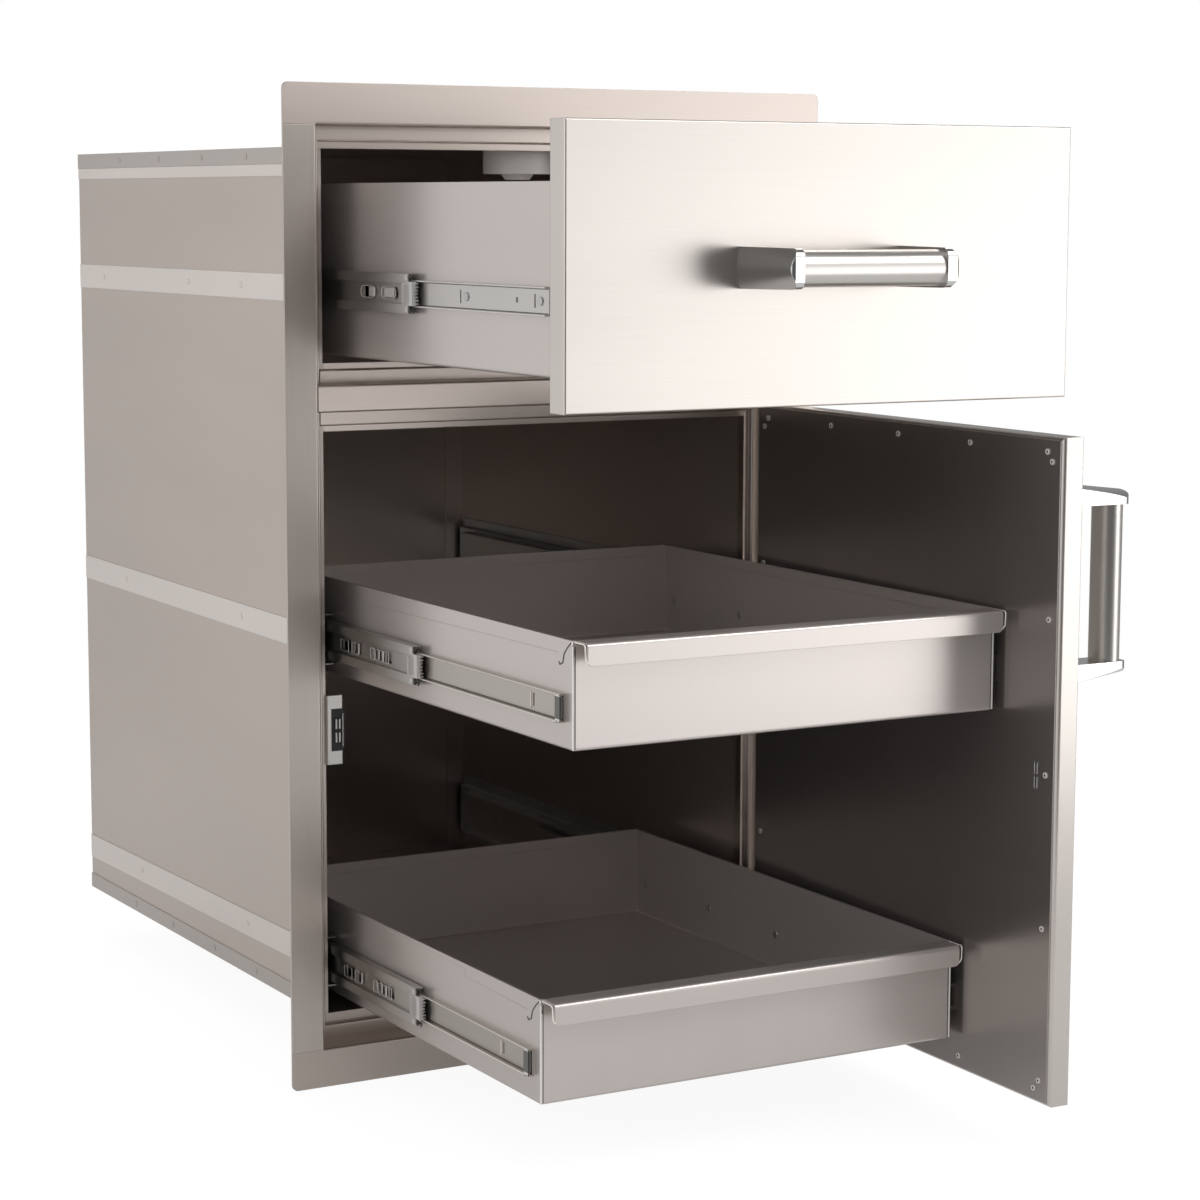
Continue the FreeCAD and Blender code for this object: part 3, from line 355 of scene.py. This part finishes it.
# windows punched in the middle members' webs: start, end and corner radius, from the front end
windows = {
    "top": ((21.4, 46.4, 4.2), (59.7, 83.7, 4.2)),
    "tray": ((43.0, 52.0, 0.6), (54.5, 66.5, 0.6), (69.0, 76.0, 0.6), (98.5, 111.0, 0.6), (117.5, 132.0, 0.6)),
    "x": -193.4,
    "half": 4.5,
    "rimRadius": 0.22,
    "cornerAngles": (0, 30, 60, 90),
}
# spring tongues that show behind the windows: start and end of each, from the front end
tongues = {
    "top": {"spans": ((28.0, 45.8), (62.0, 73.0)), "height": 7.6},
    "tray": {"spans": ((56.2, 57.8), (63.4, 65.8), (100.5, 103.5)), "height": 8.4},
    "x": 191.4,
    "thick": 0.5,
    "rounding": 0.2,
}


def windowRim(front, z, start, end, corner):
    path = []
    half = windows["half"]
    for y, height, first in ((end, half, 0), (start, half, 90), (start, -half, 180), (end, -half, 270)):
        centreY = front + y - math.copysign(corner, y - (start + end) / 2)
        centreZ = z + height - math.copysign(corner, height)
        for angle in windows["cornerAngles"]:
            turn = math.radians(first + angle)
            path.append((windows["x"], centreY + corner * math.cos(turn), centreZ + corner * math.sin(turn)))
    return path


def addWindows(name, slide):
    kind = "top" if name == "top" else "tray"
    rims = [windowRim(slide["front"], slide["z"], *window) for window in windows[kind]]
    # the rims are thin lines of painted highlight along the windows' edges
    addLines(name + "WindowRims", mirrored(rims), windows["rimRadius"], "edgeSteel", slide["middles"],
             closed=True)
    bm = bmesh.new()
    height = tongues[kind]["height"]
    for side in (-1, 1):
        for start, end in tongues[kind]["spans"]:
            spot = (side * tongues["x"], slide["front"] + (start + end) / 2, slide["z"])
            addBlock(bm, spot, (tongues["thick"], end - start, height), tongues["rounding"])
    keepPiece(name + "SpringTongues", bm, "clipSteel", slide["middles"])


# end clips on the middle members: ribs across the face, a row of teeth in front, two cheeks and dark hook lines
# of painted shade
clips = {
    "faces": ((-1, 193.9), (1, 193.4)),  # flatter on the right, where the open door is close
    "ribs": 5,
    "ribStart": -0.6,
    "ribStep": 2.1,
    "ribSize": (0.5, 0.9, 15.0),
    "ribRounding": 0.2,
    "teeth": (-3, -2, -1, 0, 1, 2, 3),
    "toothX": 190.6,
    "toothBow": 0.9,
    "toothY": -7.4,
    "toothSet": 0.5,
    "toothStep": 2.6,
    "toothSize": (3.4, 0.9, 1.5),
    "toothRounding": 0.3,
    "cheekInset": 0.2,
    "cheekY": 2.5,
    "cheekZ": 12.0,
    "cheekSize": (0.8, 4.6, 4.4),
    "cheekRounding": 0.3,
    "hookRadius": 0.55,
    "hooks": (
        ((-191.5, 1.5, 10.4), (-191.8, -1.8, 11.0), (-191.8, -2.6, 13.4), (-191.5, -0.6, 14.6)),
        ((-190.4, -3.4, 11.9), (-190.6, -5.0, 12.6), (-190.6, -4.8, 14.6), (-190.4, -3.0, 15.0)),
    ),
}


def addClips(name, slide):
    front, z = slide["front"], slide["z"]
    bm = bmesh.new()
    for side, face in clips["faces"]:
        for row in range(clips["ribs"]):
            spot = (side * face, front + clips["ribStart"] + clips["ribStep"] * row, z)
            addBlock(bm, spot, clips["ribSize"], clips["ribRounding"])
        for tooth in clips["teeth"]:
            x = clips["toothX"] - clips["toothBow"] * abs(tooth) / max(clips["teeth"])
            y = front + clips["toothY"] - (0.0 if tooth % 2 else clips["toothSet"])
            spot = (side * x, y, z + clips["toothStep"] * tooth)
            addBlock(bm, spot, clips["toothSize"], clips["toothRounding"])
        for way in (-1, 1):
            spot = (side * (face - clips["cheekInset"]), front + clips["cheekY"], z + way * clips["cheekZ"])
            addBlock(bm, spot, clips["cheekSize"], clips["cheekRounding"])
    keepPiece(name + "ClipRibs", bm, "clipSteel", slide["middles"])
    hooks = [placed(hook, front, z, way) for way in (-1, 1) for hook in clips["hooks"]]
    addLines(name + "ClipHooks", mirrored(hooks), clips["hookRadius"], "darkPlastic", slide["middles"])


# drawer members: bright edges in painted highlight, dark lines of painted shade along the folds, and on the
# trays the painted shadow of the lip
members = {
    "length": 500.0,
    "half": 10.3,
    "tipX": -189.3,
    "edgeInset": 0.45,
    "edgeStart": 0.4,
    "edgeRadius": 0.42,
    "webX": -186.0,
    "foldInset": 1.7,
    "foldStart": 0.6,
    "foldRadius": 0.22,
    "lever": ((-186.0, 4.5, 1.6), (-186.0, -4.5, 1.9), (-186.0, -5.6, -1.0), (-186.0, -4.6, -3.4),
              (-186.0, 2.0, -4.6)),
}


def addMemberLines(name, slide):
    start, z = slide["member"], slide["z"]
    rear = start + members["length"]
    edges, lines = [], []
    for way in (-1, 1):
        edgeZ = z + way * (members["half"] - members["edgeInset"])
        edges.append([(members["tipX"], start + members["edgeStart"], edgeZ), (members["tipX"], rear, edgeZ)])
        foldZ = z + way * (members["half"] - members["foldInset"])
        lines.append([(members["webX"], start + members["foldStart"], foldZ), (members["webX"], rear, foldZ)])
    if name == "top":
        edges = mirrored(edges)  # the trays have them on the left only: the open door is close on the right
    else:
        # a dark line of painted shadow cast by the lip before the middle member's end
        lines.append(placed(members["lever"], slide["front"] + slide["lever"], z))
    addLines(name + "MemberEdges", edges, members["edgeRadius"], "edgeSteel", slide["inner"])
    addLines(name + "MemberFolds", mirrored(lines), members["foldRadius"], "darkPlastic", slide["inner"])


# front ends of the trays' drawer members: a dark block of painted shade where the web is set back, bright
# blocks of painted highlight above and below, a dark rim of painted shadow and a slot with its edge in painted
# highlight
memberEnds = {
    "blockX": 187.6,
    "blockY": 4.4,
    "blockSize": (3.1, 8.0, 16.8),
    "blockRounding": 0.8,
    "capX": 188.4,
    "capY": 4.0,
    "capZ": 8.8,
    "capSize": (1.5, 7.2, 1.4),
    "capRounding": 0.4,
    "ring": ((-189.2, 0.2, 9.6), (-189.2, -0.5, 8.6), (-189.2, -0.5, -8.6), (-189.2, 0.2, -9.8),
             (-189.2, 6.0, -10.6)),
    "ringRadius": 0.45,
    "slot": ((-186.2, 48.2, 5.6), (-186.2, 48.2, -6.4)),
    "slotRadius": 0.5,
}


def addMemberEnds(name, slide):
    start, z, inner = slide["member"], slide["z"], slide["inner"]
    blocks, caps = bmesh.new(), bmesh.new()
    for side in (-1, 1):
        spot = (side * memberEnds["blockX"], start + memberEnds["blockY"], z)
        addBlock(blocks, spot, memberEnds["blockSize"], memberEnds["blockRounding"])
        for way in (-1, 1):
            spot = (side * memberEnds["capX"], start + memberEnds["capY"], z + way * memberEnds["capZ"])
            addBlock(caps, spot, memberEnds["capSize"], memberEnds["capRounding"])
    keepPiece(name + "EndStops", blocks, "endRubber", inner)
    keepPiece(name + "EndCaps", caps, "edgeSteel", inner)
    ring = placed(memberEnds["ring"], start, z)
    addLines(name + "EndRing", [ring], memberEnds["ringRadius"], "darkPlastic", inner)
    slot = placed(memberEnds["slot"], start, z)
    addLines(name + "SlotEdge", mirrored([slot]), memberEnds["slotRadius"], "edgeSteel", inner)


for name, slide in slides.items():
    addWindows(name, slide)
    addClips(name, slide)
    addMemberLines(name, slide)
    if name != "top":
        addMemberEnds(name, slide)
print("slide details made")

# trays: plane of the front, height of the top edge, and the hem along the side; its places are X, and Y and Z
# counted from those two
trays = {
    "middle": {"front": -350.0, "top": 395.6, "body": "middle_tray",
               "hem": ((-184.75, 21.0, -10.4), (-184.75, 486.0, -14.4))},
    "lower": {"front": -303.0, "top": 124.4, "body": "lower_tray",
              "hem": ((-184.75, 21.0, -11.4), (-184.75, 77.0, -10.2), (-184.75, 121.0, -9.6),
                      (-184.75, 121.4, -3.6), (-184.75, 486.0, -2.2))},
}
# lines at the trays' folded corners and along their hems, with such places; each tray has its own hem; the
# bright corner lines are painted highlights, the dark slit and corner lines painted shade
trayLines = {
    "CornerSlit": {"radius": 0.5, "look": "darkPlastic", "path": (
        (-184.75, 2.8, -1.6), (-184.75, 7.5, -5.2), (-184.75, 12.6, -10.4), (-184.75, 14.6, -17.2),
        (-184.75, 18.8, -19.0), (-184.75, 20.4, -17.0))},
    "CornerSlitEdge": {"radius": 0.35, "look": "edgeSteel", "path": (
        (-184.75, 4.3, -2.4), (-184.75, 9.0, -6.0), (-184.75, 14.1, -11.2))},
    "CornerCurl": {"radius": 0.5, "look": "edgeSteel", "path": (
        (-184.75, 0.6, -3.2), (-184.75, 1.0, -0.8), (-184.75, 3.4, -0.5), (-184.75, 4.6, -2.4))},
    "CornerFold": {"radius": 0.75, "look": "edgeSteel", "path": (
        (-184.45, 0.3, -4.0), (-184.45, 0.3, -78.4))},
    # a dark line of painted shade beside the corner fold
    "CornerSeam": {"radius": 0.3, "look": "darkPlastic", "path": (
        (-182.75, -0.05, -4.0), (-182.75, -0.05, -77.9))},
    "HemLine": {"radius": 0.16, "look": "clipSteel"},
    "LipEnd": {"radius": 0.6, "look": "edgeSteel", "path": (
        (-184.0, -1.0, -0.6), (-184.0, -14.4, -0.6), (-183.8, -16.0, -2.2), (-183.4, -16.0, -11.5),
        (-181.2, -15.8, -14.2))},
}
for name, tray in trays.items():
    for part, line in trayLines.items():
        path = placed(line.get("path", tray["hem"]), tray["front"], tray["top"])
        addLines(name + part, mirrored([path]), line["radius"], line["look"], tray["body"])
print("tray details made")

# poles of the door catch, with the bar beside them
catch = {
    "poleX": (-194.0, -191.0),
    "poleY": 29.6,
    "poleZ": (279.0, 267.8),
    "poleSize": (1.5, 0.7, 8.2),
    "bar": (-188.2, 29.7, 273.8),
    "barSize": (0.9, 0.9, 27.5),
    "rounding": 0.25,
}
poles = bmesh.new()
for x in catch["poleX"]:
    for z in catch["poleZ"]:
        addBlock(poles, (x, catch["poleY"], z), catch["poleSize"], catch["rounding"])
addBlock(poles, catch["bar"], catch["barSize"], catch["rounding"])
keepPiece("catchPoles", poles, "rivetSteel", "cabinet")

# painted highlights along the edges of the four slots in the door's liner, in front of the strike plate
strike = {
    "y": (-398.2, -401.4),
    "z": (283.0, 272.0),
    "path": ((189.35, 0.0, 0.0), (189.3, -0.2, -8.6)),
    "radius": 0.3,
}
slotHighlights = [placed(strike["path"], y, z) for y in strike["y"] for z in strike["z"]]
addLines("strikeMarks", slotHighlights, strike["radius"], "rivetSteel", "door")
print("catch details made")

# blind rivets in the door's liner: a round rim of painted highlight and a hollow middle in painted shade on
# each head
rivetTrim = {
    "weld": 0.000002,  # in metres: joins the corners that the mesh of a head has twice
    "rim": {"radius": 1.75, "lineRadius": 0.35, "points": 12, "lift": 0.05},
    "hollow": {"wide": 1.0, "narrow": 0.8, "segments": 14, "depth": 0.5, "lift": 0.1},
}


def islands(mesh):  # the separate lumps of a mesh, each as a list of places
    bm = bmesh.new()
    bm.from_mesh(mesh)
    bmesh.ops.remove_doubles(bm, verts=bm.verts, dist=rivetTrim["weld"])
    left = set(bm.verts)
    found = []
    for first in bm.verts:
        if first not in left:
            continue
        left.remove(first)
        reach, island = [first], []
        while reach:
            vert = reach.pop()
            island.append(vert.co.copy())
            near = {edge.other_vert(vert) for edge in vert.link_edges} & left
            left -= near
            reach.extend(near)
        found.append(island)
    bm.free()
    return found


hollows = bmesh.new()
rims = []
rim, hollow = rivetTrim["rim"], rivetTrim["hollow"]
turns = [math.radians(360 / rim["points"] * step) for step in range(rim["points"])]
for island in islands(nodes["door_liner_rivets"].data):
    x = min(co.x for co in island) * perMetre
    y = (min(co.y for co in island) + max(co.y for co in island)) / 2 * perMetre
    z = (min(co.z for co in island) + max(co.z for co in island)) / 2 * perMetre
    made = bmesh.ops.create_cone(hollows, cap_ends=True, segments=hollow["segments"],
                                 radius1=hollow["wide"] / perMetre, radius2=hollow["narrow"] / perMetre,
                                 depth=hollow["depth"] / perMetre)
    bmesh.ops.rotate(hollows, verts=made["verts"], matrix=Matrix.Rotation(-math.pi / 2, 3, "Y"))
    bmesh.ops.translate(hollows, verts=made["verts"], vec=Vector((x + hollow["lift"], y, z)) / perMetre)
    rims.append([(x + rim["lift"], y + rim["radius"] * math.cos(turn), z + rim["radius"] * math.sin(turn))
                 for turn in turns])
keepPiece("rivetHollows", hollows, "darkPlastic", "door")
addLines("rivetRims", rims, rim["lineRadius"], "edgeSteel", "door", closed=True)
print("door rivets finished,", len(rims))

# studio: the floor, what mirror-like steel sees around it, and soft lamps
studio = {
    "floorSize": 3.2,
    "floorZ": -0.0150,
    "floorColour": (0.86, 0.86, 0.86, 1),
    "floorRough": 0.9,
    "floorGlow": {"camera": 1.08, "gloss": 0.50},  # the floor's own glow, to the camera and in reflections
    "floorShare": {"camera": 0.85, "gloss": 0.40},  # how much of that glow is mixed in
    "roomTone": 0.75,
    "white": (1, 1, 1, 1),
    "lamps": (
        {"name": "keyLamp", "place": (2.2, -2.5, 3.0), "aim": (0, -0.2, 0.4), "size": (2.0, 1.6), "power": 46},
        {"name": "topLamp", "place": (-0.3, -0.6, 3.2), "aim": (0, 0, 0.4), "size": (3.0, 2.4), "power": 15},
        {"name": "leftLamp", "place": (-3.2, -0.9, 1.6), "aim": (0, 0.1, 0.4), "size": (2.0, 2.0), "power": 14},
    ),
}
# the room in reflections: grey walls, brighter on the left, darker behind the camera, with a tall softbox at
# the front right; "side" is a direction in X and Y, "edge" where the tone begins and ends to change
room = {
    "wallTone": 0.32,
    "left": {"side": (-0.95, 0.31), "edge": (0.60, 0.71), "tone": 0.62},
    "dark": {"side": (-0.42, -0.907), "edge": (0.62, 0.95), "share": 0.35},
    "softbox": {"side": (0.70, -0.714), "edge": (0.940, 0.990), "tone": 2.45,
                "fade": (-0.03, 0.30), "share": 0.35},  # fades towards the ceiling
    "ceiling": {"edge": (0.40, 0.75), "tone": 0.22},
    "least": 0.001,  # keeps the division below safe straight up and down
}


def calc(tree, operation, a, b=0.0):
    node = tree.nodes.new("ShaderNodeMath")
    node.operation = operation
    for place, value in enumerate((a, b)):
        if isinstance(value, (int, float)):
            node.inputs[place].default_value = value
        else:
            tree.links.new(value, node.inputs[place])
    return node.outputs["Value"]


def ramp(tree, value, edge, start, end):
    node = tree.nodes.new("ShaderNodeMapRange")
    node.interpolation_type = "SMOOTHSTEP"
    node.inputs["From Min"].default_value, node.inputs["From Max"].default_value = edge
    node.inputs["To Min"].default_value = start
    node.inputs["To Max"].default_value = end
    tree.links.new(value, node.inputs["Value"])
    return node.outputs["Result"]


def makeFloor():
    mesh = bpy.data.meshes.new("floor")
    bm = bmesh.new()
    bmesh.ops.create_grid(bm, x_segments=1, y_segments=1, size=studio["floorSize"] / 2)
    bmesh.ops.translate(bm, verts=bm.verts, vec=(0, 0, studio["floorZ"]))
    bm.to_mesh(mesh)
    bm.free()
    floor = bpy.data.objects.new("floor", mesh)
    bpy.context.scene.collection.objects.link(floor)
    mat, tree, bsdf = newMaterial("floorPaper")
    bsdf.inputs["Base Color"].default_value = studio["floorColour"]
    bsdf.inputs["Roughness"].default_value = studio["floorRough"]
    path = tree.nodes.new("ShaderNodeLightPath")
    seen = path.outputs["Is Camera Ray"]
    glow = tree.nodes.new("ShaderNodeEmission")  # white to the camera, a little darker in reflections
    shown, inGloss = studio["floorGlow"]["camera"], studio["floorGlow"]["gloss"]
    strength = calc(tree, "ADD", calc(tree, "MULTIPLY", seen, shown - inGloss), inGloss)
    tree.links.new(strength, glow.inputs["Strength"])
    share = calc(tree, "MULTIPLY", path.outputs["Is Glossy Ray"], studio["floorShare"]["gloss"])
    share = calc(tree, "MAXIMUM", share, calc(tree, "MULTIPLY", seen, studio["floorShare"]["camera"]))
    mix = tree.nodes.new("ShaderNodeMixShader")
    tree.links.new(share, mix.inputs[0])
    link(tree, bsdf, "BSDF", mix, 1)
    link(tree, glow, "Emission", mix, 2)
    link(tree, mix, "Shader", tree.nodes["Material Output"], "Surface")
    mesh.materials.append(mat)


def roomTones(tree):
    coord = tree.nodes.new("ShaderNodeTexCoord")
    split = tree.nodes.new("ShaderNodeSeparateXYZ")
    link(tree, coord, "Generated", split, "Vector")
    x, y, z = (split.outputs[axis] for axis in "XYZ")
    level = calc(tree, "SQRT", calc(tree, "ADD", calc(tree, "MULTIPLY", x, x), calc(tree, "MULTIPLY", y, y)))
    level = calc(tree, "MAXIMUM", level, room["least"])

    def towards(side):
        along = calc(tree, "ADD", calc(tree, "MULTIPLY", x, side[0]), calc(tree, "MULTIPLY", y, side[1]))
        return calc(tree, "DIVIDE", along, level)

    left, dark, softbox, ceiling = room["left"], room["dark"], room["softbox"], room["ceiling"]
    tone = ramp(tree, towards(left["side"]), left["edge"], 0.0, left["tone"])
    tone = calc(tree, "ADD", tone, room["wallTone"])
    tone = calc(tree, "MULTIPLY", tone, ramp(tree, towards(dark["side"]), dark["edge"], 1.0, dark["share"]))
    box = ramp(tree, towards(softbox["side"]), softbox["edge"], 0.0, softbox["tone"])
    box = calc(tree, "MULTIPLY", box, ramp(tree, z, softbox["fade"], 1.0, softbox["share"]))
    tone = calc(tree, "ADD", tone, box)
    high = ramp(tree, z, ceiling["edge"], 0.0, 1.0)
    walls = calc(tree, "MULTIPLY", tone, calc(tree, "SUBTRACT", 1.0, high))
    return calc(tree, "ADD", walls, calc(tree, "MULTIPLY", high, ceiling["tone"]))


def makeSurroundings():
    world = bpy.data.worlds.new("studio")
    bpy.context.scene.world = world
    world.use_nodes = True
    tree = world.node_tree
    back = tree.nodes["Background"]
    back.inputs["Color"].default_value = [studio["roomTone"]] * 3 + [1]
    reflected = tree.nodes.new("ShaderNodeBackground")
    tree.links.new(roomTones(tree), reflected.inputs["Strength"])
    reflected.inputs["Color"].default_value = studio["white"]
    seen = tree.nodes.new("ShaderNodeBackground")
    seen.inputs["Color"].default_value = studio["white"]
    path = tree.nodes.new("ShaderNodeLightPath")
    mixGlossy = tree.nodes.new("ShaderNodeMixShader")
    link(tree, path, "Is Glossy Ray", mixGlossy, 0)
    link(tree, back, "Background", mixGlossy, 1)
    link(tree, reflected, "Background", mixGlossy, 2)
    clear = calc(tree, "MAXIMUM", path.outputs["Is Camera Ray"], path.outputs["Is Transmission Ray"])
    mixCamera = tree.nodes.new("ShaderNodeMixShader")
    tree.links.new(clear, mixCamera.inputs[0])
    link(tree, mixGlossy, "Shader", mixCamera, 1)
    link(tree, seen, "Background", mixCamera, 2)
    link(tree, mixCamera, "Shader", tree.nodes["World Output"], "Surface")


def makeLamps():
    for lamp in studio["lamps"]:
        data = bpy.data.lights.new(lamp["name"], "AREA")
        data.shape = "RECTANGLE"
        data.size, data.size_y = lamp["size"]
        data.energy = lamp["power"]
        obj = bpy.data.objects.new(lamp["name"], data)
        place = Vector(lamp["place"])
        facing = (Vector(lamp["aim"]) - place).to_track_quat("-Z", "Y")
        obj.matrix_world = Matrix.Translation(place) @ facing.to_matrix().to_4x4()
        bpy.context.scene.collection.objects.link(obj)


makeFloor()
makeSurroundings()
makeLamps()
bpy.context.scene.view_settings.view_transform = "Standard"
print("studio set")
